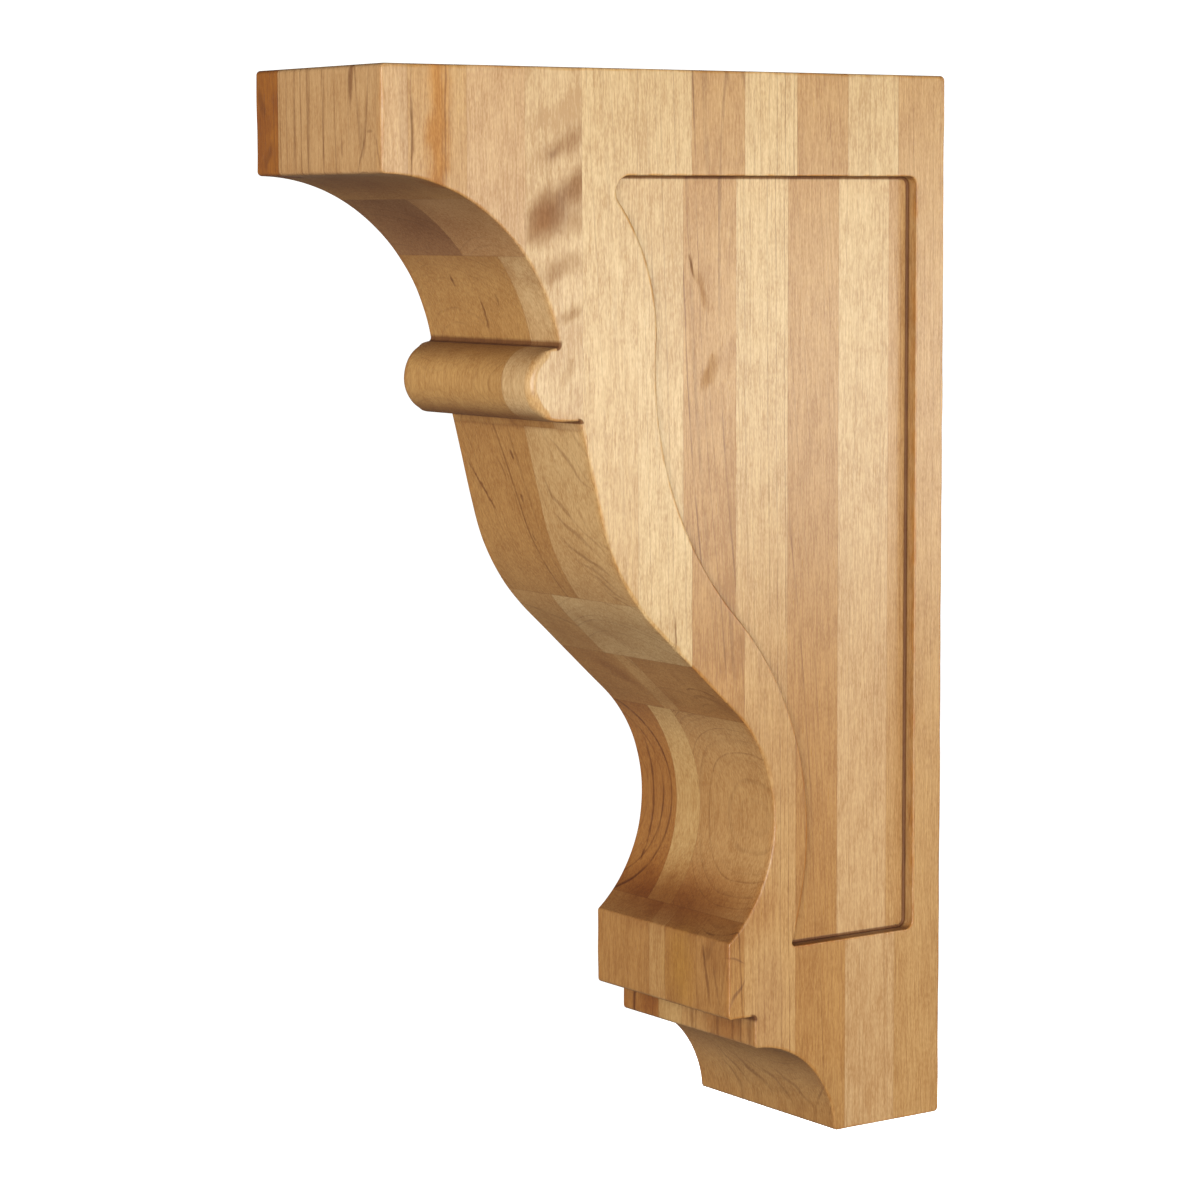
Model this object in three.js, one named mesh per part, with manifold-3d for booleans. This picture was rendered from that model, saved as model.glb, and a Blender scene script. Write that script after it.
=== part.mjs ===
// Wooden corbel bracket, carved as one block: an outline of coves, a bead, an S curve and a
// stepped foot, the same all through its width, with a shallow sunk panel in each side.
// Millimetres, +Z up. The flat back lies on the plane y = 0 and goes against the wall, the
// front looks along -Y, and the origin is the middle of the back.
import * as THREE from 'three';
import { mergeVertices } from 'three/addons/utils/BufferGeometryUtils.js';
import Module from 'manifold-3d';

// Overall size
const width = 76.2;
const depth = 222.25;
const height = 355.6;

// Heights below are measured from the top, which is zero, and depths from the wall.

// Front of the head, and the cove under it, down to the top of the bead
const headHeight = 33.3;
const coveRadius = 66.2;
const beadTop = -87.25;

// Half-round bead, and the flat under it
const beadRadius = 11.75;
const beadSoffit = 7.7;

// S curve: a steep face, a belly, a slope and a hollow, each tangent to the next
const steepAngle = 75.8;
const steepLength = 33.3;
const bellyRadius = 75.6;
const slopeAngle = 42.65;
const slopeLength = 41.9;
const hollowRadius = 51.1;

// Lower block, the fillet that steps back under it, and the cove down to the foot
const blockTop = -285.8;
const blockHeight = 25.8;
const filletSetback = 11.0;
const filletHeight = 11.0;
const footCoveRadius = 34.0;

// Sunk panel: its depth, its straight edges, and the three sweeps of its front rim
const panelDepth = 4.76;
const panelTop = -33.6;
const panelBottom = -289.7;
const panelBack = -12.2;
const panelTopFront = -130.2;
const panelFrontCorner = 5.0;
const panelBackCorner = 3.0;
const panelTopSweep = { radius: 68.1, fromAngle: 51.7, toAngle: 93.6 };
const panelBellySweep = { radius: 118.6, toAngle: 46.3 };
const panelHollowRadius = 106.3;

// Eased edges: the corners of the outline, and the long edges along both sides
const cornerEase = 1.5;
const edgeEase = 0.9;
const edgeEaseSteps = 2;

// An arc's chords lie at most this far inside the true curve
const chordError = 0.03;

// The panel's cutter reaches this far out of the side that it opens
const cutterReach = 2.0;

const woodColour = 0xcfa26d;
const woodRoughness = 0.55;

// Headings of the outline's straight runs, in degrees, with the wall to the right
const toFront = 180;
const down = -90;
const toWall = 0;
const up = 90;

const { degToRad, radToDeg, euclideanModulo } = THREE.MathUtils;

function polar(radius, angle) {
  return new THREE.Vector2(radius * Math.cos(angle), radius * Math.sin(angle));
}

// A pen that draws an outline in straight runs and arcs. Turns are in degrees, left is positive.
class Pen {
  constructor(x, y, heading = toFront) {
    this.at = new THREE.Vector2(x, y);
    this.points = [this.at.clone()];
    this.face(heading);
  }

  face(heading) {
    this.heading = degToRad(heading);
    return this;
  }

  forward(length) {
    this.at.add(polar(length, this.heading));
    this.points.push(this.at.clone());
    return this;
  }

  arc(radius, turn) {
    const sweep = degToRad(turn);
    const start = this.heading - (Math.sign(sweep) * Math.PI) / 2;
    const centre = this.at.clone().sub(polar(radius, start));
    const chordAngle = 2 * Math.acos(1 - chordError / radius);
    const chords = Math.ceil(Math.abs(sweep) / chordAngle);
    for (let i = 1; i <= chords; i += 1) {
      this.at = centre.clone().add(polar(radius, start + (sweep * i) / chords));
      this.points.push(this.at.clone());
    }
    this.heading += sweep;
    return this;
  }

  // A hollow arc, turning right, that ends at the given level.
  hollowTo(radius, level) {
    const start = this.heading + Math.PI / 2;
    const centreLevel = this.at.y - radius * Math.sin(start);
    const end = Math.asin((level - centreLevel) / radius);
    const rightTurn = euclideanModulo(start - end, 2 * Math.PI);
    return this.arc(radius, -radToDeg(rightTurn));
  }

  // The last point is a corner that is eased to this radius.
  eased(radius) {
    this.points.at(-1).ease = radius;
    return this;
  }

  outline() {
    const corner = (point, i, all) => easedCorner(all.at(i - 1), point, all[(i + 1) % all.length]);
    return new THREE.Shape(this.points.flatMap(corner));
  }
}

// The points of a corner: an arc tangent to the runs on both sides, or the point as it is.
function easedCorner(before, corner, after) {
  if (!corner.ease) return [corner];
  const arrival = corner.clone().sub(before);
  const departure = after.clone().sub(corner);
  const turn = euclideanModulo(departure.angle() - arrival.angle() + Math.PI, 2 * Math.PI) - Math.PI;
  const cut = corner.ease * Math.tan(Math.abs(turn) / 2);
  const start = corner.clone().sub(polar(cut, arrival.angle()));
  const pen = new Pen(start.x, start.y, radToDeg(arrival.angle()));
  return pen.arc(corner.ease, radToDeg(turn)).points;
}

// The corbel seen from the side, as (y, z), from the top of the back round to its foot
function corbelOutline() {
  const pen = new Pen(0, 0).eased(cornerEase);
  pen.face(toFront).forward(depth).eased(cornerEase);
  pen.face(down).forward(headHeight).eased(cornerEase);
  pen.face(toWall).hollowTo(coveRadius, beadTop);
  pen.face(toFront).arc(beadRadius, 180).forward(beadSoffit);
  pen.face(-steepAngle).forward(steepLength);
  pen.arc(bellyRadius, steepAngle - slopeAngle).forward(slopeLength);
  pen.hollowTo(hollowRadius, blockTop).eased(cornerEase);
  pen.face(down).forward(blockHeight).eased(cornerEase);
  pen.face(toWall).forward(filletSetback);
  pen.face(down).forward(filletHeight).eased(cornerEase);
  pen.face(toWall).hollowTo(footCoveRadius, -height).eased(cornerEase);
  pen.face(toWall).forward(-pen.at.x).eased(cornerEase);
  return pen.outline();
}

// The sunk panel's rim, from its top front corner down the front and back up behind
function panelOutline() {
  const pen = new Pen(panelTopFront, panelTop);
  pen.face(toFront).arc(panelFrontCorner, 180 - panelTopSweep.fromAngle);
  pen.arc(panelTopSweep.radius, panelTopSweep.fromAngle - panelTopSweep.toAngle);
  pen.arc(panelBellySweep.radius, panelTopSweep.toAngle - panelBellySweep.toAngle);
  pen.hollowTo(panelHollowRadius, panelBottom);
  pen.face(toWall).forward(panelBack - pen.at.x).eased(panelBackCorner);
  pen.face(up).forward(panelTop - panelBottom).eased(panelBackCorner);
  return pen.outline();
}

// A solid of the outline's shape from one x to another, with its end edges eased if asked
function acrossWidth(outline, fromX, toX, ease = 0) {
  const geometry = new THREE.ExtrudeGeometry(outline, {
    depth: toX - fromX - 2 * ease,
    bevelEnabled: ease > 0,
    bevelThickness: ease,
    bevelSize: ease,
    bevelOffset: -ease,
    bevelSegments: edgeEaseSteps,
  });
  const alongY = new THREE.Vector3(0, 1, 0);
  const alongZ = new THREE.Vector3(0, 0, 1);
  const alongX = new THREE.Vector3(1, 0, 0);
  geometry.applyMatrix4(new THREE.Matrix4().makeBasis(alongY, alongZ, alongX));
  return geometry.translate(fromX + ease, 0, height / 2);
}

const wasm = await Module();
wasm.setup();

function toSolid(geometry) {
  geometry.deleteAttribute('normal');
  geometry.deleteAttribute('uv');
  const merged = mergeVertices(geometry);
  const vertProperties = merged.attributes.position.array;
  const triVerts = Uint32Array.from(merged.index.array);
  return new wasm.Manifold(new wasm.Mesh({ numProp: 3, vertProperties, triVerts }));
}

function toGeometry(solid) {
  const { vertProperties, triVerts } = solid.getMesh();
  const geometry = new THREE.BufferGeometry();
  geometry.setAttribute('position', new THREE.BufferAttribute(vertProperties, 3));
  geometry.setIndex(new THREE.BufferAttribute(triVerts, 1));
  geometry.computeVertexNormals();
  return geometry;
}

function corbelGeometry() {
  const side = width / 2;
  const floor = side - panelDepth;
  const rim = panelOutline();
  const leftPanel = toSolid(acrossWidth(rim, -side - cutterReach, -floor));
  const rightPanel = toSolid(acrossWidth(rim, floor, side + cutterReach));
  const block = toSolid(acrossWidth(corbelOutline(), -side, side, edgeEase));
  return toGeometry(block.subtract(leftPanel).subtract(rightPanel));
}

const wood = new THREE.MeshStandardMaterial({ color: woodColour, roughness: woodRoughness, metalness: 0 });
const corbel = new THREE.Mesh(corbelGeometry(), wood);
corbel.name = 'corbel';

const part = new THREE.Group();
part.add(corbel);

export default part;
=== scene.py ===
import math
from collections import namedtuple

import bmesh
import bpy
import numpy as np
from mathutils import Matrix, Vector, geometry


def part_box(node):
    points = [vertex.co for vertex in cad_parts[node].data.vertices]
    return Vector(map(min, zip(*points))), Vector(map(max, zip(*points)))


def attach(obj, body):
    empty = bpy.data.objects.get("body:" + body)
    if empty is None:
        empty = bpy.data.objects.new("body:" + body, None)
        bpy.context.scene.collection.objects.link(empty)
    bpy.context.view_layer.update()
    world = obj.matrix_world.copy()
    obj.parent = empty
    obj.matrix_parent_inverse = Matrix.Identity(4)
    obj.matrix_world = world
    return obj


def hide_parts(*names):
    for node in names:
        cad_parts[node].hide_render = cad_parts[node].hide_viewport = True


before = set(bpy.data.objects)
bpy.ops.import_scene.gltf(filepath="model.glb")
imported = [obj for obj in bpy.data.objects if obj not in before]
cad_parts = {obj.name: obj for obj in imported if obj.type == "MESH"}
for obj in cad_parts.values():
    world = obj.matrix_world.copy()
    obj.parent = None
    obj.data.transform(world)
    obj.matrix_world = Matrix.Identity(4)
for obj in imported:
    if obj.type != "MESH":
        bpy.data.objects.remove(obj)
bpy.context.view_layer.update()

# A wooden corbel, glued up from upright staves and carved as one block. The frame is the
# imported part's own: +Z up, the back on y = 0, the front towards -Y. Sizes are millimetres
# and become metres where the mesh, the lights and the camera are made.
MM = 0.001

# Overall size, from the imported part
low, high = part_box("corbel")
WIDTH = (high[0] - low[0]) / MM
DEPTH = (high[1] - low[1]) / MM
HEIGHT = (high[2] - low[2]) / MM
TOP = high[2] / MM

# Outline, seen from the side. Levels are measured down from the top, depths from the wall.
HEAD_HEIGHT = 33.3
COVE_RADIUS = 66.2
BEAD_TOP = -87.25
BEAD_RADIUS = 11.75
BEAD_SOFFIT = 7.7
STEEP_ANGLE = 75.8
STEEP_LENGTH = 33.3
BELLY_RADIUS = 75.6
SLOPE_ANGLE = 42.65
SLOPE_LENGTH = 41.9
HOLLOW_RADIUS = 51.1
BLOCK_TOP = -285.8
BLOCK_HEIGHT = 25.8
FILLET_SETBACK = 11.0
FILLET_HEIGHT = 11.0
FOOT_COVE_RADIUS = 34.0

# Sunk panel in each side. A sweep is its radius and the headings that it runs between.
PANEL_DEPTH = 4.76
PANEL_TOP = -33.6
PANEL_BOTTOM = -289.7
PANEL_BACK = -12.2
PANEL_TOP_FRONT = -130.2
PANEL_FRONT_CORNER = 5.0
PANEL_BACK_CORNER = 3.0
PANEL_TIP = 1.2
PANEL_TOP_SWEEP = (68.1, 51.7, 93.6)
PANEL_BELLY_SWEEP = (118.6, 93.6, 46.3)
PANEL_HOLLOW_RADIUS = 106.3

# Sanded edges and corners. The ends of the bead are sanded rounder than the rest.
CORNER_EASE = 1.5
CREASE_EASE = 1.1
EDGE_EASE = 0.7
BEAD_EDGE_EASE = 2.4
RIM_EASE = 0.5
FRONT_RIM_EASE = 1.0
FLOOR_FILLET = 0.7

# Where the right edge of the S curve is nicked and torn: place along it, reach and depth
NICK_AT = (-113.0, -187.0)
NICK_REACH = 1.6
NICK_DEPTH = 1.1
TORN_LEVELS = (-262.0, -222.0)
TORN_DEPTH = 0.25

# Fineness of the mesh
POINT_GAP = 1.2
ARC_STEP = math.radians(2.5)
EASE_STEPS = 4
WEAR_BAND = 0.45
COLUMN_GAP = 4.0
RIPPLE_REACH = 9
RIPPLE_SHARE = 0.2

TO_FRONT, DOWN, TO_WALL, UP = 180, -90, 0, 90


# Outlines

class Pen:
    """Draws an outline in straight runs and arcs, as closely spaced points (y, z)."""

    def __init__(self, y, z):
        self.at = np.array([y, z], float)
        self.heading = 0.0
        self.points = [self.at]
        self.corners = []

    def face(self, degrees):
        self.heading = math.radians(degrees)
        return self

    def forward(self, length):
        run = np.array([math.cos(self.heading), math.sin(self.heading)])
        count = max(1, math.ceil(length / POINT_GAP))
        start = self.at
        self._add(start + run * length * i / count for i in range(1, count + 1))
        return self

    def arc(self, radius, degrees):
        sweep = math.radians(degrees)
        first = self.heading - math.copysign(math.pi / 2, sweep)
        centre = self.at - radius * np.array([math.cos(first), math.sin(first)])
        count = math.ceil(abs(sweep) * max(1 / ARC_STEP, radius / POINT_GAP))
        angles = first + sweep * np.arange(1, count + 1) / count
        self._add(centre + radius * np.array([math.cos(a), math.sin(a)]) for a in angles)
        self.heading += sweep
        return self

    def hollow_to(self, radius, level):
        """A hollow arc, turning right, that ends at the given level."""
        start = self.heading + math.pi / 2
        centre_level = self.at[1] - radius * math.sin(start)
        end = math.asin((level - centre_level) / radius)
        return self.arc(radius, -math.degrees((start - end) % (2 * math.pi)))

    def eased(self, radius):
        """The last point is a corner that is eased to this radius."""
        self.corners.append((len(self.points) - 1, radius))
        return self

    def _add(self, points):
        self.points.extend(points)
        self.at = self.points[-1]

    def outline(self):
        points = np.array(self.points[:-1])
        for index, radius in reversed(self.corners):
            points = ease_corner(points, index, radius)
        return points


def unit(vector):
    return vector / np.linalg.norm(vector)


def ease_corner(points, index, radius):
    """Replaces a corner of a closed outline by a short curve that meets both runs smoothly."""
    middle = len(points) // 2
    points = np.roll(points, middle - index, axis=0)
    corner = points[middle]
    arrive = unit(corner - points[middle - 1])
    leave = unit(points[middle + 1] - corner)
    turn = math.acos(np.clip(arrive @ leave, -1, 1))
    cut = radius * math.tan(turn / 2)
    before, start, heading_in = cut_run(points[middle::-1], cut)
    after, end, heading_out = cut_run(points[middle:], cut)
    handle = 4 / 3 * math.tan(turn / 4) * radius
    times = np.linspace(0, 1, max(4, math.ceil(turn / ARC_STEP / 4)))[:, None]
    curve = ((1 - times) ** 3 * start
             + 3 * (1 - times) ** 2 * times * (start + heading_in * handle)
             + 3 * (1 - times) * times ** 2 * (end + heading_out * handle)
             + times ** 3 * end)
    eased = np.vstack([before[::-1], curve, after])
    return np.roll(eased, index - middle, axis=0)


def cut_run(run, cut):
    """Cuts a run of points off at a distance from its first point, the corner.
    Gives the points that stay, the place of the cut and the heading there to the corner."""
    lengths = np.concatenate([[0], np.cumsum(np.linalg.norm(np.diff(run, axis=0), axis=1))])
    keep = np.searchsorted(lengths, cut * 1.0001)
    part = (cut - lengths[keep - 1]) / (lengths[keep] - lengths[keep - 1])
    place = run[keep - 1] + part * (run[keep] - run[keep - 1])
    return run[keep:], place, unit(run[keep - 1] - run[keep])


def corbel_outline():
    pen = Pen(0, 0).eased(CORNER_EASE)
    pen.face(TO_FRONT).forward(DEPTH).eased(CORNER_EASE)
    pen.face(DOWN).forward(HEAD_HEIGHT).eased(CORNER_EASE)
    pen.face(TO_WALL).hollow_to(COVE_RADIUS, BEAD_TOP).eased(CREASE_EASE)
    pen.face(TO_FRONT).arc(BEAD_RADIUS, 180).forward(BEAD_SOFFIT).eased(CREASE_EASE)
    pen.face(-STEEP_ANGLE).forward(STEEP_LENGTH)
    pen.arc(BELLY_RADIUS, STEEP_ANGLE - SLOPE_ANGLE).forward(SLOPE_LENGTH)
    pen.hollow_to(HOLLOW_RADIUS, BLOCK_TOP).eased(CORNER_EASE)
    pen.face(DOWN).forward(BLOCK_HEIGHT).eased(CORNER_EASE)
    pen.face(TO_WALL).forward(FILLET_SETBACK).eased(CREASE_EASE)
    pen.face(DOWN).forward(FILLET_HEIGHT).eased(CORNER_EASE)
    pen.face(TO_WALL).hollow_to(FOOT_COVE_RADIUS, -HEIGHT).eased(CORNER_EASE)
    pen.face(TO_WALL).forward(-pen.at[0]).eased(CORNER_EASE)
    pen.face(UP).forward(HEIGHT)
    return pen.outline()


def panel_outline():
    pen = Pen(PANEL_TOP_FRONT, PANEL_TOP)
    pen.face(TO_FRONT).arc(PANEL_FRONT_CORNER, 180 - PANEL_TOP_SWEEP[1])
    for radius, from_angle, to_angle in (PANEL_TOP_SWEEP, PANEL_BELLY_SWEEP):
        pen.arc(radius, from_angle - to_angle)
    pen.hollow_to(PANEL_HOLLOW_RADIUS, PANEL_BOTTOM).eased(PANEL_TIP)
    pen.face(TO_WALL).forward(PANEL_BACK - pen.at[0]).eased(PANEL_BACK_CORNER)
    pen.face(UP).forward(PANEL_TOP - PANEL_BOTTOM).eased(PANEL_BACK_CORNER)
    pen.face(TO_FRONT).forward(PANEL_BACK - PANEL_TOP_FRONT)
    return pen.outline()


def inset(outline, distance):
    """The closed outline moved inwards, by one distance or by one for each point."""
    ahead = np.roll(outline, -1, axis=0) - outline
    ahead /= np.linalg.norm(ahead, axis=1)[:, None]
    outward = np.stack([ahead[:, 1], -ahead[:, 0]], axis=1)
    middle = outward + np.roll(outward, 1, axis=0)
    middle /= np.linalg.norm(middle, axis=1)[:, None]
    reach = distance / np.sum(middle * outward, axis=1)
    return outline - middle * reach[:, None]


def creases(outline):
    """One at the points of the outline's inner corners and zero elsewhere."""
    ahead = np.roll(outline, -1, axis=0) - outline
    angle = np.arctan2(ahead[:, 1], ahead[:, 0])
    turn = (angle - np.roll(angle, 1) + math.pi) % (2 * math.pi) - math.pi
    return np.where(turn < -2 * ARC_STEP, 1.0, 0.0)


# The corbel's mesh

class Shell:
    """Collects the loops and faces of one closed mesh. Wear marks its outer edges, and a second mark
    picks out its inner corners, where shade is painted into the colour."""

    def __init__(self):
        self.points = []
        self.wear = []
        self.painted_corner_shade = []
        self.faces = []

    def loop(self, outline, x, wear=0.0, painted_corner_shade=0.0):
        first = len(self.points)
        count = len(outline)
        across = np.broadcast_to(x, count)
        self.points.extend((px, y, z + TOP) for px, (y, z) in zip(across, outline))
        self.wear.extend(np.broadcast_to(wear, count))
        self.painted_corner_shade.extend(np.broadcast_to(painted_corner_shade, count))
        return np.arange(first, first + count)

    def bridge(self, loops, flip=False):
        """Joins each loop to the next with a ring of quads."""
        for a, b in zip(loops, loops[1:]):
            quads = np.stack([a, b, np.roll(b, -1), np.roll(a, -1)], axis=1)
            self.faces.extend((quads[:, ::-1] if flip else quads).tolist())

    def cap(self, loops, facing):
        """Fills the first loop, less the loops inside it, with triangles that face along X."""
        index = np.concatenate(loops)
        flat = np.array([self.points[i] for i in index])[:, 1:]
        rings = [[Vector((*self.points[i][1:], 0)) for i in loop] for loop in loops]
        for triangle in geometry.tessellate_polygon(rings):
            (ay, az), (by, bz), (cy, cz) = flat[list(triangle)]
            area = (by - ay) * (cz - az) - (cy - ay) * (bz - az)
            corners = index[list(triangle)].tolist()
            self.faces.append(corners if area * facing > 0 else corners[::-1])


def ripple(count, reach, seed):
    """A smooth random wave round a closed loop, mostly between -1 and 1."""
    noise = np.random.default_rng(seed).normal(size=count)
    kernel = np.hanning(2 * reach + 1)
    padded = np.concatenate([noise[-reach:], noise, noise[:reach]])
    wave = np.convolve(padded, kernel / np.linalg.norm(kernel), mode="valid")
    return np.clip(wave, -1.6, 1.6)


def edge_ease(outline, side):
    """How far the long edge of one side is eased at each point of the outline."""
    count = len(outline)
    ease = EDGE_EASE * (1 + RIPPLE_SHARE * ripple(count, RIPPLE_REACH, seed=5 + side))
    y, z = outline.T
    bead_front = DEPTH - COVE_RADIUS + BEAD_RADIUS
    on_bead = (z < BEAD_TOP - 1) & (z > BEAD_TOP - 2 * BEAD_RADIUS + 1)
    on_bead &= y < -bead_front + BEAD_RADIUS
    kernel = np.hanning(9) / np.hanning(9).sum()
    ease += (BEAD_EDGE_EASE - EDGE_EASE) * np.convolve(on_bead, kernel, mode="same")
    if side > 0:
        from_nick = np.hypot(y - NICK_AT[0], z - NICK_AT[1])
        ease += NICK_DEPTH * np.exp(-(from_nick / NICK_REACH) ** 2)
        torn = (z > TORN_LEVELS[0]) & (z < TORN_LEVELS[1]) & (y < PANEL_BACK)
        ease += TORN_DEPTH * torn * np.abs(ripple(count, 1, seed=11))
    return ease


def edge_loops(shell, outline, side):
    """The loops of one eased long edge, from the flat side to the carved front and back."""
    half = WIDTH / 2
    ease = edge_ease(outline, side)
    # Painted shade along the eased edge, at the outline's inner corners
    painted_corner_shade = creases(outline)
    loops = [shell.loop(inset(outline, ease + WEAR_BAND), side * half)]
    for angle in np.linspace(0, math.pi / 2, EASE_STEPS + 1):
        x = half - ease * (1 - math.cos(angle))
        around = inset(outline, ease * (1 - math.sin(angle)))
        loops.append(shell.loop(around, side * x, wear=1.0, painted_corner_shade=painted_corner_shade))
    return loops


def rim_ease(rim):
    """How far the panel's rim is eased at each of its points: most along its curved front."""
    y, z = rim.T
    curved = (z < PANEL_TOP - 4) & (z > PANEL_BOTTOM + 8) & (y < PANEL_BACK - 4)
    kernel = np.hanning(19) / np.hanning(19).sum()
    return RIM_EASE + (FRONT_RIM_EASE - RIM_EASE) * np.convolve(curved, kernel, mode="same")


def panel_loops(shell, rim, side):
    """The loops of a sunk panel, from the flat side over its rim and down to its floor."""
    half = WIDTH / 2
    floor = half - PANEL_DEPTH
    ease = rim_ease(rim)
    loops = [shell.loop(inset(rim, -ease - WEAR_BAND), side * half)]
    turns = np.linspace(0, math.pi / 2, EASE_STEPS + 1)
    for angle in turns:
        x = half - ease * (1 - math.cos(angle))
        loops.append(shell.loop(inset(rim, -ease * (1 - math.sin(angle))), side * x, wear=2.0))
    loops.append(shell.loop(rim, side * (floor + FLOOR_FILLET + WEAR_BAND)))
    # The floor fillet, the panel's inner corner, gets painted shade
    for angle in turns:
        x = floor + FLOOR_FILLET * (1 - math.sin(angle))
        around = inset(rim, FLOOR_FILLET * (1 - math.cos(angle)))
        loops.append(shell.loop(around, side * x, painted_corner_shade=1.0))
    loops.append(shell.loop(inset(rim, FLOOR_FILLET + WEAR_BAND), side * floor))
    return loops


def corbel_shell():
    shell = Shell()
    outline = corbel_outline()
    rim = panel_outline()
    edges = {}
    for side in (1, -1):
        edges[side] = edge_loops(shell, outline, side)
        panel = panel_loops(shell, rim, side)
        shell.bridge(panel, flip=side > 0)
        shell.cap([panel[-1]], side)
        shell.cap([edges[side][0], panel[0]], side)
    reach = WIDTH / 2 - BEAD_EDGE_EASE - NICK_DEPTH
    levels = np.linspace(reach, -reach, math.ceil(2 * reach / COLUMN_GAP))
    # Painted shade along the inner corners of the carved front and back
    columns = [shell.loop(outline, x, painted_corner_shade=creases(outline)) for x in levels]
    shell.bridge(edges[1] + columns + edges[-1][::-1])
    return shell


def corbel_object(material):
    shell = corbel_shell()
    mesh = bpy.data.meshes.new("carved_corbel")
    mesh.from_pydata([tuple(v * MM for v in point) for point in shell.points], [], shell.faces)
    mesh.attributes.new("wear", "FLOAT", "POINT").data.foreach_set("value", shell.wear)
    # Painted shade for the inner corners, which the material reads
    mesh.attributes.new("painted_corner_shade", "FLOAT", "POINT").data.foreach_set("value", shell.painted_corner_shade)
    mesh.shade_smooth()
    mesh.materials.append(material)
    piece = bpy.data.objects.new("carved_corbel", mesh)
    bpy.context.scene.collection.objects.link(piece)
    piece.modifiers.new("flat_faces_stay_flat", "WEIGHTED_NORMAL")
    return piece


# Wood

# Staves stand upright, one behind another from the wall to the front
STAVE_PITCH = 21.4
BACK_PLANED_OFF = 1.1

# Wood tones, as linear colour
CREAM = (0.675, 0.487, 0.250)
STRAW = (0.63, 0.425, 0.185)
ROSE = (0.65, 0.460, 0.240)
WHEAT = (0.57, 0.350, 0.140)
PUTTY = (0.60, 0.388, 0.188)
TAN = (0.555, 0.336, 0.135)
HONEY = (0.475, 0.254, 0.082)
GOLD = (0.51, 0.300, 0.104)
BRONZE = (0.49, 0.275, 0.092)
AMBER = (0.42, 0.195, 0.049)
UMBER = (0.39, 0.220, 0.098)
RUST = (0.37, 0.137, 0.012)

# A board of a stave: the x where it ends, its tone at the top and at the foot, where the heart
# of the tree was, as x and as depth from the stave's middle towards the wall, its ring gap, how
# its rings lean in x and in depth as it goes up, and how strongly its rings and its curled
# figure show.
Board = namedtuple("Board", "end tone foot heart gap lean rings figure")

RIGHT = WIDTH / 2
STAVES = [
    [Board(-9, TAN, TAN, (-40, 70), 1.3, (0.02, 0.01), 0.50, 0.0),
     Board(RIGHT, TAN, TAN, (20, 60), 1.2, (0.01, 0.02), 0.60, 0.0)],
    [Board(12, STRAW, STRAW, (-20, -80), 1.7, (0.0, 0.02), 0.40, 0.0),
     Board(RIGHT, CREAM, PUTTY, (30, 75), 1.9, (0.02, 0.0), 0.40, 0.0)],
    [Board(-20, TAN, HONEY, (-60, 60), 1.4, (0.01, 0.0), 0.45, 0.0),
     Board(RIGHT, TAN, HONEY, (10, -70), 1.6, (0.03, 0.06), 0.55, 0.0)],
    [Board(-17, AMBER, AMBER, (-46, 30), 3.6, (0.0, 0.02), 1.00, 0.0),
     Board(-3.5, CREAM, STRAW, (-60, 30), 2.6, (0.0, 0.0), 0.10, 0.0),
     Board(RIGHT, CREAM, TAN, (33, 62), 1.7, (0.0, 0.0), 0.80, 0.0)],
    [Board(-7, WHEAT, HONEY, (-25, 80), 2.5, (0.0, 0.03), 0.30, 0.0),
     Board(2, WHEAT, WHEAT, (-30, 20), 2.2, (0.0, 0.0), 0.60, 0.0),
     Board(20, WHEAT, HONEY, (5, 90), 3.0, (0.0, 0.02), 0.30, 0.0),
     Board(RIGHT, TAN, HONEY, (30, 26), 2.4, (0.03, 0.07), 0.90, 0.3)],
    [Board(-12, WHEAT, WHEAT, (-40, 85), 2.6, (0.0, 0.02), 0.40, 0.2),
     Board(RIGHT, CREAM, CREAM, (15, 70), 2.0, (0.01, 0.03), 0.40, 0.15)],
    [Board(4.5, BRONZE, BRONZE, (-60, 30), 1.6, (0.05, 0.03), 0.60, 0.0),
     Board(RIGHT, CREAM, WHEAT, (52, -62), 2.6, (0.0, 0.03), 0.30, 0.0)],
    [Board(22, GOLD, GOLD, (-10, 80), 1.5, (0.0, 0.02), 0.40, 0.2),
     Board(RIGHT, ROSE, ROSE, (70, 20), 3.0, (0.04, 0.05), 0.20, 0.6)],
    [Board(2, UMBER, UMBER, (-30, 70), 2.2, (0.0, 0.03), 0.40, 0.2),
     Board(RIGHT, PUTTY, TAN, (30, 80), 1.5, (0.01, 0.01), 0.35, 0.1)],
    [Board(RIGHT, WHEAT, WHEAT, (-5, 75), 2.4, (0.01, 0.01), 0.45, 0.1)],
    [Board(-24, RUST, RUST, (-70, 30), 3.0, (0.05, 0.05), 0.80, 0.6),
     Board(RIGHT, PUTTY, PUTTY, (32, 26), 4.6, (0.0, 0.06), 1.00, 0.0)],
]

# A mark on the wood: its middle, its half size into the wood, along the mark and across it, how
# far it leans from upright, in degrees, its strength and the tint that it stains with. The ones that
# reach across the whole front are not features of the wood: they are painted shade and painted light.
Mark = namedtuple("Mark", "middle reach length width lean strength tint")
BROWN = (0.40, 0.27, 0.17)
ORANGE = (0.92, 0.70, 0.38)
# These two stain marks in the wood, and also paint shade in the hollow and under the bead
SMOKE_AND_SHADE = (0.62, 0.46, 0.30)
BURNT_AND_SHADE = (0.64, 0.38, 0.10)
OLIVE = (0.98, 0.95, 0.58)
DUSK = (0.46, 0.29, 0.17)
# The next three paint shade, cool light from below and light; they are not the wood's own colour
PAINTED_SHADE = (0.60, 0.44, 0.34)
PAINTED_COOL_LIGHT = (0.96, 1.06, 1.22)
PAINTED_LIGHT = (1.20, 1.26, 1.34)

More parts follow.
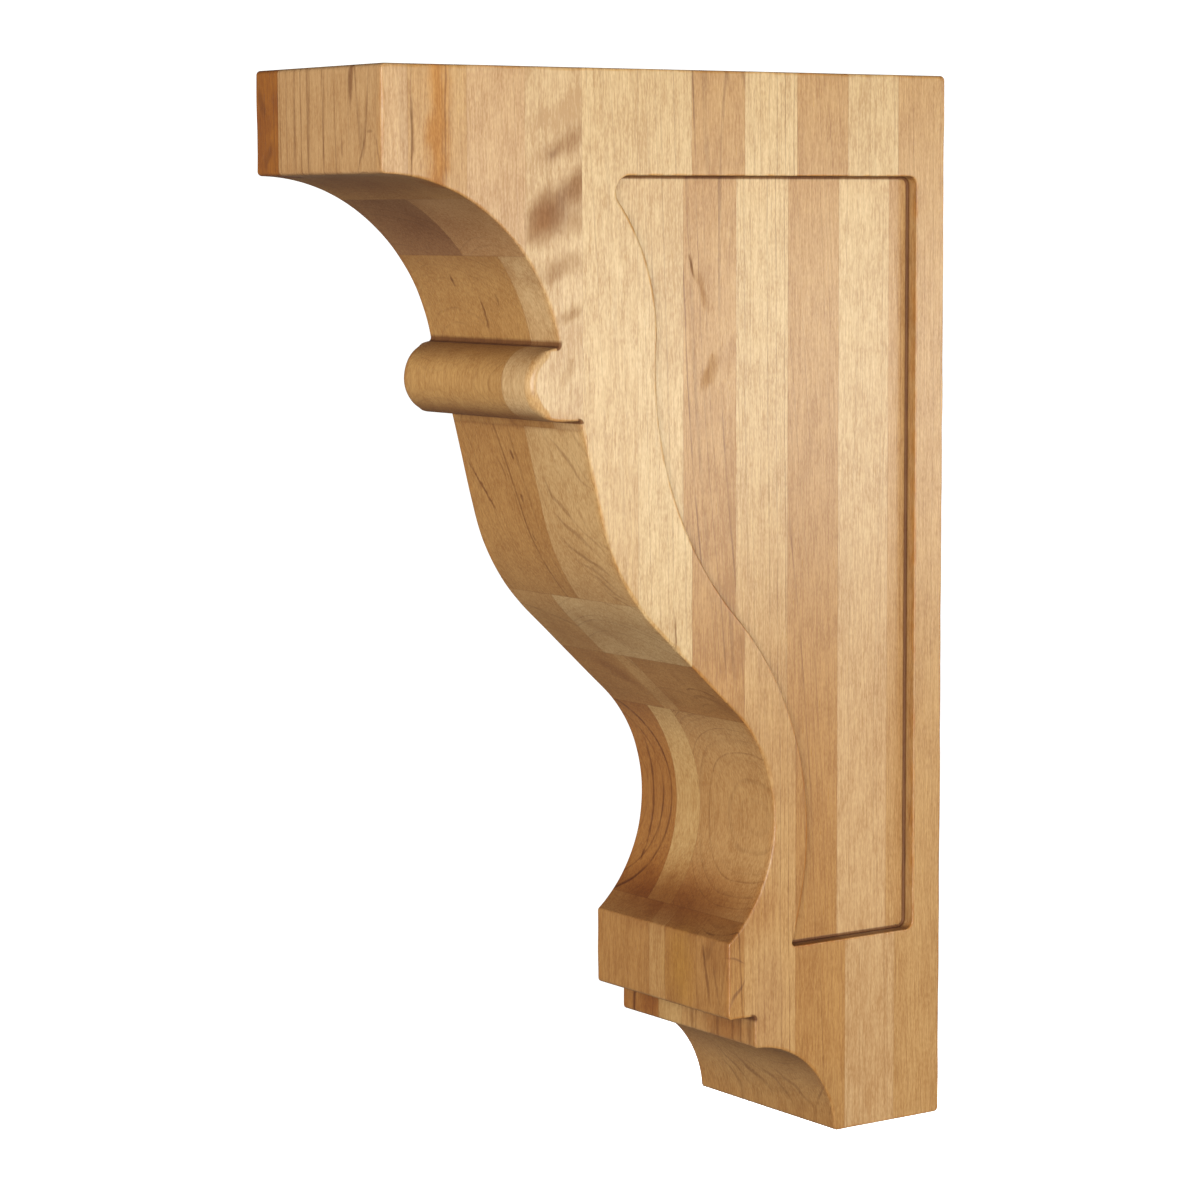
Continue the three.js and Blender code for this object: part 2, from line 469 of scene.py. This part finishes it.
# Marks on the carved front lean to the right as they go up
FRONT_MARKS = [
    # Head
    Mark((-14.0, -222.0, -16.0), 5.0, 24.0, 0.8, 1, 0.35, BROWN),
    Mark((-5.0, -222.0, -17.0), 5.0, 22.0, 0.8, 2, 0.32, BROWN),
    Mark((4.0, -222.0, -18.0), 5.0, 24.0, 0.9, 1, 0.38, BROWN),
    Mark((20.5, -222.0, -4.0), 5.0, 11.0, 1.8, 3, 0.80, BROWN),
    Mark((15.0, -222.0, -25.0), 5.0, 4.5, 0.8, 0, 0.50, BROWN),
    Mark((26.2, -222.0, -28.0), 5.0, 8.5, 0.7, 24, 0.50, BROWN),
    Mark((31.5, -222.0, -20.6), 5.0, 3.0, 0.7, 90, 0.45, BROWN),
    Mark((36.0, -222.0, -26.5), 5.0, 7.0, 0.7, -17, 0.45, BROWN),
    Mark((-34.0, -222.0, -10.0), 6.0, 10.0, 3.0, -25, 0.55, BROWN),
    Mark((-30.0, -222.0, -26.0), 6.0, 8.0, 2.2, 30, 0.50, BROWN),
    # Cove
    # Painted shade in the cove, under the head
    Mark((-6.0, -180.0, -52.0), 30.0, 24.0, 56.0, 0, 0.48, PAINTED_SHADE),
    Mark((-4.0, -206.0, -36.0), 24.0, 13.0, 60.0, 0, 0.65, PAINTED_SHADE),
    Mark((-1.0, -160.0, -78.0), 6.0, 8.0, 0.9, 0, 0.75, BROWN),
    Mark((-13.0, -164.0, -67.0), 5.0, 3.0, 0.8, 0, 0.70, BROWN),
    Mark((9.0, -163.0, -73.0), 5.0, 3.0, 0.8, 0, 0.60, BROWN),
    # Painted light on the front of the bead
    Mark((-20.0, -165.0, -97.0), 14.0, 10.0, 54.0, 0, 0.80, PAINTED_LIGHT),
    # Painted shade under the bead
    Mark((0.0, -158.0, -111.0), 16.0, 6.0, 90.0, 0, 0.75, BURNT_AND_SHADE),
    # Steep run and belly
    Mark((-28.5, -143.0, -136.0), 8.0, 15.0, 0.8, -34, 0.75, BROWN),
    Mark((-14.0, -145.0, -129.0), 6.0, 6.0, 0.5, -20, 0.45, BROWN),
    Mark((-6.4, -146.2, -123.6), 5.0, 2.5, 1.0, -20, 0.85, BROWN),
    Mark((-6.2, -142.6, -138.2), 5.0, 2.5, 0.8, -20, 0.65, BROWN),
    Mark((-4.9, -138.8, -151.1), 5.0, 2.0, 0.8, -20, 0.60, BROWN),
    Mark((25.6, -145.0, -124.0), 8.0, 17.0, 1.0, -50, 0.45, BROWN),
    Mark((15.4, -142.0, -138.0), 8.0, 13.0, 0.9, -44, 0.40, BROWN),
    Mark((19.0, -140.0, -147.0), 8.0, 16.0, 1.0, -58, 0.42, BROWN),
    Mark((28.0, -138.0, -149.0), 8.0, 12.0, 0.8, -54, 0.34, BROWN),
    Mark((22.0, -136.0, -155.5), 8.0, 17.0, 1.0, -60, 0.42, BROWN),
    Mark((24.0, -133.0, -160.5), 8.0, 16.0, 0.9, -62, 0.38, BROWN),
    Mark((27.0, -130.0, -165.0), 8.0, 14.0, 1.0, -62, 0.38, BROWN),
    Mark((29.0, -128.0, -169.0), 8.0, 12.0, 0.8, -60, 0.34, BROWN),
    # Slope
    # Painted light on the slope
    Mark((4.0, -98.0, -202.0), 24.0, 16.0, 90.0, 0, 0.80, PAINTED_LIGHT),
    Mark((0.0, -118.0, -182.0), 20.0, 22.0, 4.0, -60, 0.35, SMOKE_AND_SHADE),
    Mark((-16.0, -97.5, -199.5), 20.0, 19.0, 5.5, -54, 0.55, SMOKE_AND_SHADE),
    Mark((33.0, -90.0, -206.5), 20.0, 9.0, 4.5, -42, 0.45, SMOKE_AND_SHADE),
    # Hollow
    Mark((-30.5, -73.0, -245.0), 14.0, 30.0, 0.9, 0, 0.80, BROWN),
    Mark((-25.0, -74.0, -250.0), 14.0, 18.0, 0.6, 5, 0.50, BROWN),
    Mark((-31.0, -76.0, -267.0), 6.0, 3.0, 1.0, 0, 0.80, BROWN),
    # Painted shade at the bottom of the hollow, above the block
    Mark((-4.0, -82.0, -279.0), 26.0, 13.0, 50.0, 0, 0.90, SMOKE_AND_SHADE),
    Mark((4.0, -80.0, -276.0), 24.0, 16.0, 70.0, 0, 0.58, BURNT_AND_SHADE),
    # Block, fillet and foot
    Mark((11.0, -91.0, -298.0), 10.0, 26.0, 13.0, 0, 0.85, OLIVE),
    Mark((25.5, -91.0, -298.0), 5.0, 13.0, 1.0, -12, 0.60, BROWN),
    Mark((31.0, -91.0, -301.0), 5.0, 9.0, 0.8, -16, 0.40, BROWN),
    Mark((29.0, -91.0, -293.0), 6.0, 12.0, 8.0, 0, 0.45, SMOKE_AND_SHADE),
    Mark((-21.0, -80.0, -317.0), 7.0, 12.0, 9.0, 0, 0.60, BURNT_AND_SHADE),
    Mark((22.0, -80.0, -317.0), 7.0, 12.0, 22.0, 0, 0.60, BURNT_AND_SHADE),
    Mark((2.5, -80.0, -317.0), 5.0, 9.0, 1.5, 0, 0.40, BROWN),
    Mark((10.0, -80.0, -317.0), 5.0, 9.0, 0.8, 0, 0.30, BROWN),
    Mark((17.0, -80.0, -317.0), 5.0, 9.0, 1.3, 0, 0.45, BROWN),
    Mark((25.5, -80.0, -317.0), 5.0, 9.0, 0.9, 0, 0.50, BROWN),
    Mark((30.0, -80.0, -317.0), 5.0, 9.0, 0.7, 0, 0.40, BROWN),
    Mark((35.0, -80.0, -317.0), 5.0, 9.0, 1.7, 0, 0.45, BROWN),
    # Painted shade at the top of the foot cove, under the fillet
    Mark((0.0, -66.0, -326.0), 14.0, 8.0, 48.0, 0, 0.40, PAINTED_SHADE),
    # Painted light on the foot cove, cool and pale as light from below
    Mark((0.0, -52.0, -344.0), 24.0, 26.0, 70.0, 0, 0.90, PAINTED_COOL_LIGHT),
    Mark((-14.0, -51.0, -341.0), 8.0, 16.0, 1.0, -44, 0.34, BROWN),
    Mark((-3.0, -50.0, -343.0), 8.0, 17.0, 1.2, -50, 0.40, BROWN),
    Mark((8.0, -49.0, -344.0), 8.0, 17.0, 1.0, -54, 0.34, BROWN),
    Mark((18.0, -49.0, -343.0), 8.0, 15.0, 1.1, -58, 0.36, BROWN),
]

# Marks on the right side lean to the wall as they go up
SIDE_MARKS = [
    # Head
    Mark((38.0, -211.3, -23.0), 6.0, 16.0, 0.7, 0, 0.75, BROWN),
    Mark((38.0, -202.0, -14.0), 12.0, 80.0, 6.0, 0, 0.90, ORANGE),
    Mark((38.0, -199.2, -14.0), 8.0, 40.0, 0.5, 0, 0.50, BROWN),
    # Panel and edge of the S curve
    Mark((33.0, -102.5, -63.0), 5.0, 5.0, 0.8, -15, 0.80, BROWN),
    Mark((33.0, -95.0, -97.0), 8.0, 9.0, 3.5, 20, 0.50, SMOKE_AND_SHADE),
    Mark((33.0, -98.0, -70.0), 8.0, 9.0, 2.2, -20, 0.45, SMOKE_AND_SHADE),
    Mark((38.0, -112.5, -181.0), 5.0, 7.0, 0.5, -3, 0.80, BROWN),
    # End of the block
    Mark((38.0, -74.0, -310.0), 30.0, 30.0, 13.0, 0, 0.40, SMOKE_AND_SHADE),
    Mark((38.0, -88.0, -303.0), 5.0, 6.5, 0.7, 37, 0.60, BROWN),
    Mark((38.0, -88.0, -292.6), 5.0, 3.8, 0.7, -70, 0.50, BROWN),
]

# Marks on the right side that stay inside the curled board, beside the cove and the bead
CURL_MARKS = [
    Mark((38.0, -154.0, -23.5), 18.0, 16.0, 6.0, 60, 0.60, DUSK),
    Mark((38.0, -159.0, -26.5), 18.0, 4.0, 2.5, 60, 0.45, DUSK),
    Mark((38.0, -163.0, -47.0), 18.0, 17.0, 9.0, 42, 0.95, DUSK),
    Mark((38.0, -151.0, -37.0), 18.0, 15.0, 8.0, 42, 0.75, DUSK),
    Mark((38.0, -151.0, -48.0), 18.0, 12.0, 6.0, 60, 0.45, DUSK),
    Mark((38.0, -158.0, -63.0), 18.0, 15.0, 6.0, 72, 0.45, DUSK),
    Mark((38.0, -152.5, -76.5), 18.0, 8.0, 3.6, 60, 0.50, DUSK),
    Mark((38.0, -155.0, -96.0), 18.0, 8.0, 3.0, 30, 0.25, DUSK),
]

# The lookup tables hold numbers from 0 to 1, so a value is stored as a share of its range.
MAX_BOARDS = 32
FADE_LEVELS = (-240.0, -60.0)
MAX_JOINTS = 3
ACROSS = (-40.0, 40.0)
HEART_RANGE = (-128.0, 128.0)
GAP_RANGE = (0.0, 8.0)
LEAN_RANGE = (-0.16, 0.16)


def share(value, span):
    return (value - span[0]) / (span[1] - span[0])


def opaque(colour):
    return (*colour, 1.0)


class Graph:
    """Short names for the shader nodes that a material is built from."""

    def __init__(self, tree):
        self.tree = tree

    def node(self, kind, inputs=(), **settings):
        made = self.tree.nodes.new(kind)
        for name, value in settings.items():
            setattr(made, name, value)
        for name, value in dict(inputs).items():
            self.feed(value, made.inputs[name])
        return made

    def feed(self, value, socket):
        if isinstance(value, bpy.types.NodeSocket):
            self.tree.links.new(value, socket)
        else:
            socket.default_value = value

    def math(self, operation, *values, clamp=False):
        made = self.node("ShaderNodeMath", enumerate(values), operation=operation, use_clamp=clamp)
        return made.outputs[0]

    def vector(self, operation, *values):
        made = self.node("ShaderNodeVectorMath", enumerate(values), operation=operation)
        return made.outputs[0]

    def scaled(self, vector, factor):
        inputs = {"Vector": vector, "Scale": factor}
        return self.node("ShaderNodeVectorMath", inputs, operation="SCALE").outputs[0]

    def combine(self, x, y, z):
        return self.node("ShaderNodeCombineXYZ", {"X": x, "Y": y, "Z": z}).outputs[0]

    def separate(self, vector):
        return self.node("ShaderNodeSeparateXYZ", {"Vector": vector}).outputs

    def noise(self, vector, size, detail=2.0, output="Fac"):
        """Noise whose features measure about the given size along X, Y and Z."""
        inputs = {"Vector": self.vector("DIVIDE", vector, size), "Scale": 1.0, "Detail": detail}
        return self.node("ShaderNodeTexNoise", inputs).outputs[output]

    def step(self, value, start, end, to=(0.0, 1.0)):
        """A smooth rise from one value to another."""
        inputs = {"Value": value, "From Min": start, "From Max": end, "To Min": to[0], "To Max": to[1]}
        return self.node("ShaderNodeMapRange", inputs, interpolation_type="SMOOTHSTEP").outputs[0]

    def mix(self, factor, a, b, blend="MIX"):
        made = self.node("ShaderNodeMix", data_type="RGBA", blend_type=blend)
        self.feed(factor, made.inputs[0])
        self.feed(a, made.inputs[6])
        self.feed(b, made.inputs[7])
        return made.outputs[2]

    def stain(self, factor, colour, tint):
        """The colour multiplied by a tint, by some share."""
        return self.mix(factor, colour, opaque(tint), "MULTIPLY")

    def lookup(self, index, rows, size):
        """A table read by number: each row is three shares, and may have a fourth."""
        position = self.math("DIVIDE", self.math("ADD", index, 0.5), float(size))
        made = self.node("ShaderNodeValToRGB", {"Fac": position})
        ramp = made.color_ramp
        ramp.interpolation = "CONSTANT"
        while len(ramp.elements) < len(rows):
            ramp.elements.new(1.0)
        for i, row in enumerate(rows):
            ramp.elements[i].position = i / size
            ramp.elements[i].color = (*row, 1.0)[:4]
        return made.outputs["Color"], made.outputs["Alpha"]

    def channels(self, colour):
        return self.node("ShaderNodeSeparateColor", {"Color": colour}).outputs

    def from_share(self, value, span):
        return self.math("MULTIPLY_ADD", value, span[1] - span[0], span[0])


def find_board(graph, x, y):
    """The number of the board that a point lies in, its depth from the middle of its stave
    and its distance to the nearest glued joint."""
    staves_in = graph.math("DIVIDE", graph.math("SUBTRACT", BACK_PLANED_OFF, y), STAVE_PITCH)
    stave = graph.math("FLOOR", staves_in)
    fraction = graph.math("SUBTRACT", staves_in, stave)
    depth = graph.math("MULTIPLY", graph.math("SUBTRACT", 0.5, fraction), STAVE_PITCH)
    rows = []
    first = 0
    for boards in STAVES:
        joints = [share(board.end, ACROSS) for board in boards[:-1]]
        joints += [1.0] * (MAX_JOINTS - len(joints))
        rows.append((*joints, first / MAX_BOARDS))
        first += len(boards)
    joints, start = graph.lookup(stave, rows, len(STAVES))
    place = graph.math("DIVIDE", graph.math("SUBTRACT", x, ACROSS[0]), ACROSS[1] - ACROSS[0])
    board = graph.math("ROUND", graph.math("MULTIPLY", start, float(MAX_BOARDS)))
    to_joint = graph.math("SUBTRACT", STAVE_PITCH / 2, graph.math("ABSOLUTE", depth))
    for joint in list(graph.channels(joints)):
        past = graph.math("SUBTRACT", place, joint)
        board = graph.math("ADD", board, graph.math("GREATER_THAN", past, 0.0))
        distance = graph.math("MULTIPLY", graph.math("ABSOLUTE", past), ACROSS[1] - ACROSS[0])
        to_joint = graph.math("MINIMUM", to_joint, distance)
    return board, depth, to_joint


BoardFacts = namedtuple("BoardFacts", "tone heart_x heart_depth gap lean_x lean_depth rings figure")


def board_facts(graph, board, z):
    """What the table of boards says of a point's own board."""
    boards = [row for stave in STAVES for row in stave]
    tone, _ = graph.lookup(board, [b.tone for b in boards], MAX_BOARDS)
    foot, _ = graph.lookup(board, [b.foot for b in boards], MAX_BOARDS)
    height = graph.step(z, FADE_LEVELS[0] + TOP, FADE_LEVELS[1] + TOP)
    tone = graph.mix(height, foot, tone)
    growth, _ = graph.lookup(board, [(
        share(b.heart[0], HEART_RANGE), share(b.heart[1], HEART_RANGE), share(b.gap, GAP_RANGE)
    ) for b in boards], MAX_BOARDS)
    habit, figure = graph.lookup(board, [(
        share(b.lean[0], LEAN_RANGE), share(b.lean[1], LEAN_RANGE), b.rings, b.figure
    ) for b in boards], MAX_BOARDS)
    heart_x, heart_depth, gap = graph.channels(growth)
    lean_x, lean_depth, rings = graph.channels(habit)
    return BoardFacts(
        tone,
        graph.from_share(heart_x, HEART_RANGE),
        graph.from_share(heart_depth, HEART_RANGE),
        graph.from_share(gap, GAP_RANGE),
        graph.from_share(lean_x, LEAN_RANGE),
        graph.from_share(lean_depth, LEAN_RANGE),
        rings,
        figure)


def ring_lines(graph, facts, board, place, own):
    """Thin lines where the growth rings are cut: 0 between them, up to 1 on the strongest."""
    x, depth, z = graph.separate(place)
    bend = graph.scaled(graph.noise(own, (60.0, 60.0, 210.0), 0.0, "Color"), 9.0)
    waver = graph.scaled(graph.noise(own, (9.0, 9.0, 45.0), 1.0, "Color"), 0.9)
    bend_x, bend_depth, _ = graph.separate(graph.vector("ADD", bend, waver))
    from_x = graph.math("MULTIPLY_ADD", facts.lean_x, z, graph.math("SUBTRACT", x, facts.heart_x))
    from_depth = graph.math(
        "MULTIPLY_ADD", facts.lean_depth, z, graph.math("SUBTRACT", depth, facts.heart_depth))
    from_heart = graph.combine(
        graph.math("ADD", from_x, bend_x), graph.math("ADD", from_depth, bend_depth), 0.0)
    made = graph.node("ShaderNodeVectorMath", {0: from_heart}, operation="LENGTH")
    even = graph.math("DIVIDE", made.outputs["Value"], facts.gap)
    drawn = graph.math("MULTIPLY_ADD", board, 17.0, graph.math("MULTIPLY", even, 0.45))
    uneven = graph.node("ShaderNodeTexNoise", {"W": drawn, "Scale": 1.0}, noise_dimensions="1D")
    rings_in = graph.math("MULTIPLY_ADD", uneven.outputs[0], 1.8, even)
    ring = graph.math("FLOOR", rings_in)
    phase = graph.math("SUBTRACT", rings_in, ring)
    seed = graph.math("MULTIPLY_ADD", board, 57.0, ring)
    chance = graph.node("ShaderNodeTexWhiteNoise", {"W": seed}, noise_dimensions="1D").outputs["Value"]
    weight = graph.math("MULTIPLY_ADD", graph.math("POWER", chance, 2.0), 0.85, 0.15)
    start = graph.math("SUBTRACT", 0.80, graph.math("DIVIDE", 0.25, facts.gap))
    rise = graph.step(phase, start, 0.93)
    line = graph.math("MULTIPLY", rise, graph.step(phase, 0.94, 1.0, (1.0, 0.0)))
    broken = graph.step(graph.noise(own, (6.0, 6.0, 16.0)), 0.32, 0.60, (0.25, 1.0))
    line = graph.math("MULTIPLY", graph.math("MULTIPLY", line, broken), weight)
    return graph.math("MULTIPLY", line, facts.rings)


def swayed(graph, point, size, detail, reach):
    """The point moved about by noise, by half the given reach each way."""
    noise = graph.noise(point, size, detail, "Color")
    sway = graph.vector("SUBTRACT", noise, (0.5, 0.5, 0.5))
    return graph.vector("ADD", point, graph.scaled(sway, reach))


def mark_strength(graph, mark, place, on_front):
    """How strongly a mark stains a place."""
    x, y, level = mark.middle
    middle = np.array((x, y, level + TOP))
    if on_front:
        axis, turn, size = "Y_AXIS", -mark.lean, (mark.width, mark.reach, mark.length)
    else:
        axis, turn, size = "X_AXIS", mark.lean, (mark.reach, mark.width, mark.length)
    if turn:
        inputs = {"Vector": place, "Center": tuple(middle), "Angle": math.radians(turn)}
        place = graph.node("ShaderNodeVectorRotate", inputs, rotation_type=axis).outputs[0]
    away = graph.vector("MULTIPLY_ADD", place, tuple(1 / np.array(size)), tuple(-middle / size))
    distance = graph.node("ShaderNodeVectorMath", {0: away}, operation="LENGTH").outputs["Value"]
    full_to = 0.1 if mark.width > 2 else 0.35
    return graph.step(distance, full_to, 1.0, (mark.strength, 0.0))


def stain_marks(graph, colour, point, figure):
    """The colour with all the marks, and how marked the wood of the side is. Wide marks have a
    cloudy outline, thin ones that lean are wavy and the others are frayed."""
    cloudy = swayed(graph, point, (6.0, 6.0, 9.0), 2.0, 6.0)
    wavy = swayed(graph, point, (9.0, 9.0, 9.0), 0.0, 5.0)
    frayed = swayed(graph, point, (1.0, 1.0, 9.0), 1.0, 1.4)
    curled = graph.step(figure, 0.45, 0.55)
    marked = 0.0
    for marks in (FRONT_MARKS, SIDE_MARKS, CURL_MARKS):
        for mark in marks:
            thin = wavy if abs(mark.lean) > 35 else frayed
            place = cloudy if mark.width > 2 else thin
            strength = mark_strength(graph, mark, place, marks is FRONT_MARKS)
            if marks is CURL_MARKS:
                strength = graph.math("MULTIPLY", strength, curled)
            if marks is not FRONT_MARKS:
                marked = graph.math("MAXIMUM", marked, strength)
            colour = graph.stain(strength, colour, mark.tint)
    return colour, marked


def grain_colour(graph, facts, own, rings):
    """The board's tone with its figure, fibres, pores and rings."""
    drift = graph.noise(own, (26.0, 26.0, 95.0), 1.0)
    quilt = graph.noise(own, (7.0, 7.0, 12.0), 2.0)
    band = graph.noise(own, (1.7, 1.7, 110.0), 1.0)
    fibre = graph.noise(own, (0.65, 0.65, 9.0), 2.0)
    fleck = graph.noise(own, (0.46, 0.46, 1.7), 1.0)
    pore = graph.step(graph.noise(own, (0.6, 0.6, 4.5), 1.0), 0.63, 0.72)
    slanted = graph.node("ShaderNodeVectorRotate", {"Vector": own, "Angle": math.radians(-35)},
                         rotation_type="X_AXIS").outputs[0]
    curl = graph.step(graph.noise(slanted, (24.0, 34.0, 13.0), 2.0), 0.46, 0.68)
    shade = graph.step(drift, 0.30, 0.75, (0.0, 0.24))
    shade = graph.math("ADD", shade, graph.step(quilt, 0.35, 0.75, (0.0, 0.16)))
    shade = graph.math("ADD", shade, graph.step(band, 0.35, 0.75, (0.0, 0.12)))
    shade = graph.math("ADD", shade, graph.step(fibre, 0.32, 0.70, (0.0, 0.42)))
    flecks = graph.step(quilt, 0.3, 0.7, (0.30, 0.44))
    shade = graph.math("MULTIPLY_ADD", graph.step(fleck, 0.30, 0.70), flecks, shade)
    shade = graph.math("MULTIPLY_ADD", pore, 0.30, shade)
    shade = graph.math("MULTIPLY_ADD", graph.math("MULTIPLY", curl, facts.figure), 0.70, shade)
    colour = graph.stain(shade, facts.tone, (0.66, 0.54, 0.42))
    return graph.stain(rings, colour, (0.40, 0.28, 0.18)), fibre, pore


def wood_material():
    material = bpy.data.materials.new("laminated_wood")
    material.use_nodes = True
    material.node_tree.nodes.clear()
    graph = Graph(material.node_tree)
    coordinates = graph.node("ShaderNodeTexCoord")
    point = graph.scaled(coordinates.outputs["Object"], 1 / MM)
    x, y, z = graph.separate(point)
    board, depth, to_joint = find_board(graph, x, y)
    facts = board_facts(graph, board, z)

    # Each board is cut from its own stretch of the noise
    place = graph.combine(x, depth, z)
    away = graph.vector("MULTIPLY", graph.combine(board, board, board), (131.7, 73.3, 211.9))
    own = graph.vector("ADD", place, away)
    rings = ring_lines(graph, facts, board, place, own)
    colour, fibre, pore = grain_colour(graph, facts, own, rings)
    colour, marked = stain_marks(graph, colour, point, facts.figure)

    # Cut ends of the fibres drink more finish, and so do sanded edges and joints. Inner corners get
    # painted shade.
    _, _, upward = graph.separate(coordinates.outputs["Normal"])
    end_grain = graph.step(graph.math("ABSOLUTE", upward), 0.40, 0.98)
    colour = graph.stain(end_grain, colour, (0.62, 0.57, 0.52))
    wear = graph.node("ShaderNodeAttribute", attribute_name="wear").outputs["Fac"]
    patchy = graph.step(graph.noise(point, (5.0, 5.0, 9.0)), 0.3, 0.7, (0.05, 0.45))
    colour = graph.stain(graph.math("MULTIPLY", wear, patchy), colour, (0.92, 0.68, 0.32))
    # Painted shade, dark brown, in the inner corners and along the panel's floor fillet
    painted_corner_shade = graph.node("ShaderNodeAttribute", attribute_name="painted_corner_shade").outputs["Fac"]
    colour = graph.stain(graph.math("MULTIPLY", painted_corner_shade, 0.92), colour, (0.30, 0.17, 0.06))
    colour = graph.stain(graph.step(to_joint, 0.0, 0.25, (0.35, 0.0)), colour, (0.55, 0.42, 0.30))

    roughness = graph.math("MULTIPLY_ADD", fibre, 0.12, 0.24)
    roughness = graph.math("MULTIPLY_ADD", end_grain, 0.40, roughness)
    roughness = graph.math("MULTIPLY_ADD", graph.math("MAXIMUM", painted_corner_shade, marked), 0.4, roughness)
    relief = graph.math("MULTIPLY_ADD", pore, -0.8, graph.math("MULTIPLY", fibre, 0.6))
    bump = graph.node("ShaderNodeBump", {"Strength": 0.3, "Distance": 0.12 * MM, "Height": relief})
    shader = graph.node("ShaderNodeBsdfPrincipled", {
        "Base Color": colour, "Roughness": roughness, "Normal": bump.outputs[0]})
    graph.node("ShaderNodeOutputMaterial", {"Surface": shader.outputs[0]})
    return material


# Stage, light and camera

# Camera, as turned round the corbel from straight in front, tilted down and rolled
CAMERA_TURN = 55.062
CAMERA_TILT = 6.209
CAMERA_ROLL = -0.206
CAMERA_DISTANCE = 1187.1
CAMERA_AIM = (0.0, -115.8, -173.0)
IMAGE_PIXELS = 1200
FOCAL_PIXELS = 3578.6

FLOOR_BELOW = 450.0
FLOOR_SIZE = 48000.0
BACKDROP_RADIUS = 35.0
WHITE = (1.0, 1.0, 1.0, 1.0)
WARM_LIGHT = (1.0, 0.78, 0.50)
PALE_LIGHT = (1.0, 1.0, 0.92)

# Brightness of the studio round the corbel: straight down, at the horizon, straight up
STUDIO_LOW = (0.24, 0.23, 0.21)
STUDIO_LEVEL = (0.22, 0.22, 0.21)
STUDIO_HIGH = (0.10, 0.10, 0.10)


def make_camera():
    turn, tilt, roll = (math.radians(a) for a in (CAMERA_TURN, CAMERA_TILT, CAMERA_ROLL))
    back = Vector((math.sin(turn) * math.cos(tilt), -math.cos(turn) * math.cos(tilt), math.sin(tilt)))
    right = Vector((math.cos(turn), math.sin(turn), 0.0))
    up = back.cross(right)
    rolled_right = right * math.cos(roll) + up * math.sin(roll)
    rolled_up = up * math.cos(roll) - right * math.sin(roll)
    aim = Vector(CAMERA_AIM) + Vector((0.0, 0.0, TOP))
    place = (aim + back * CAMERA_DISTANCE) * MM
    data = bpy.data.cameras.new("camera")
    data.sensor_fit = "HORIZONTAL"
    data.lens = FOCAL_PIXELS / IMAGE_PIXELS * data.sensor_width
    camera = bpy.data.objects.new("camera", data)
    axes = Matrix((rolled_right, rolled_up, back)).transposed()
    camera.matrix_world = Matrix.Translation(place) @ axes.to_4x4()
    bpy.context.scene.collection.objects.link(camera)
    bpy.context.scene.camera = camera


def glowing_material(name, strength):
    material = bpy.data.materials.new(name)
    material.use_nodes = True
    shader = material.node_tree.nodes["Principled BSDF"]
    shader.inputs["Base Color"].default_value = WHITE
    shader.inputs["Roughness"].default_value = 0.9
    shader.inputs["Specular IOR Level"].default_value = 0.0
    shader.inputs["Emission Color"].default_value = WHITE
    shader.inputs["Emission Strength"].default_value = strength
    return material


def make_stage_piece(name, mesh, glow):
    """A white surface that only the camera sees. The world lights the corbel in its place."""
    mesh.materials.append(glowing_material(name, glow))
    piece = bpy.data.objects.new(name, mesh)
    piece.visible_diffuse = False
    piece.visible_glossy = False
    piece.visible_shadow = False
    bpy.context.scene.collection.objects.link(piece)


def make_stage():
    half = FLOOR_SIZE / 2 * MM
    level = (TOP - HEIGHT - FLOOR_BELOW) * MM
    floor = bpy.data.meshes.new("floor")
    corners = [(-half, -half, level), (half, -half, level), (half, half, level), (-half, half, level)]
    floor.from_pydata(corners, [], [(0, 1, 2, 3)])
    make_stage_piece("floor", floor, 1.0)
    backdrop = bpy.data.meshes.new("backdrop")
    dome = bmesh.new()
    bmesh.ops.create_uvsphere(dome, u_segments=48, v_segments=24, radius=BACKDROP_RADIUS)
    dome.to_mesh(backdrop)
    dome.free()
    make_stage_piece("backdrop", backdrop, 1.0)


def make_softbox(name, place, aim, size, radiance, colour=(1.0, 1.0, 1.0)):
    """A rectangular light of even brightness. Places and sizes are metres."""
    data = bpy.data.lights.new(name, "AREA")
    data.shape = "RECTANGLE"
    data.size, data.size_y = size
    data.energy = radiance * math.pi * size[0] * size[1]
    data.color = colour
    light = bpy.data.objects.new(name, data)
    light.location = place
    light.rotation_euler = (Vector(aim) - Vector(place)).to_track_quat("-Z", "Y").to_euler()
    bpy.context.scene.collection.objects.link(light)


def make_world():
    world = bpy.data.worlds.new("studio")
    bpy.context.scene.world = world
    world.use_nodes = True
    graph = Graph(world.node_tree)
    background = world.node_tree.nodes["Background"]
    direction = graph.node("ShaderNodeTexCoord").outputs["Generated"]
    _, _, height = graph.separate(direction)
    upper = graph.mix(graph.step(height, 0.1, 0.7), opaque(STUDIO_LEVEL), opaque(STUDIO_HIGH))
    whole = graph.mix(graph.step(height, -0.5, 0.0), opaque(STUDIO_LOW), upper)
    graph.feed(whole, background.inputs["Color"])


def make_lights():
    make_world()
    make_softbox("side_strip", (1.06, 0.66, 0.02), (0.0, -0.1, 0.02), (1.2, 0.24), 7.0, PALE_LIGHT)
    make_softbox("key_softbox", (1.5, -1.05, 0.1), (0.0, -0.1, 0.0), (1.6, 1.2), 6.2)
    make_softbox("front_softbox", (-0.35, -1.05, 0.06), (0.0, -0.15, 0.05), (0.7, 0.7), 2.6, WARM_LIGHT)
    make_softbox("back_softbox", (-1.2, 1.45, 0.35), (0.0, -0.1, 0.0), (1.4, 1.4), 5.0)


bpy.context.scene.view_settings.view_transform = "Standard"
make_camera()
make_stage()
make_lights()
corbel = corbel_object(wood_material())
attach(corbel, "root")
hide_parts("corbel")
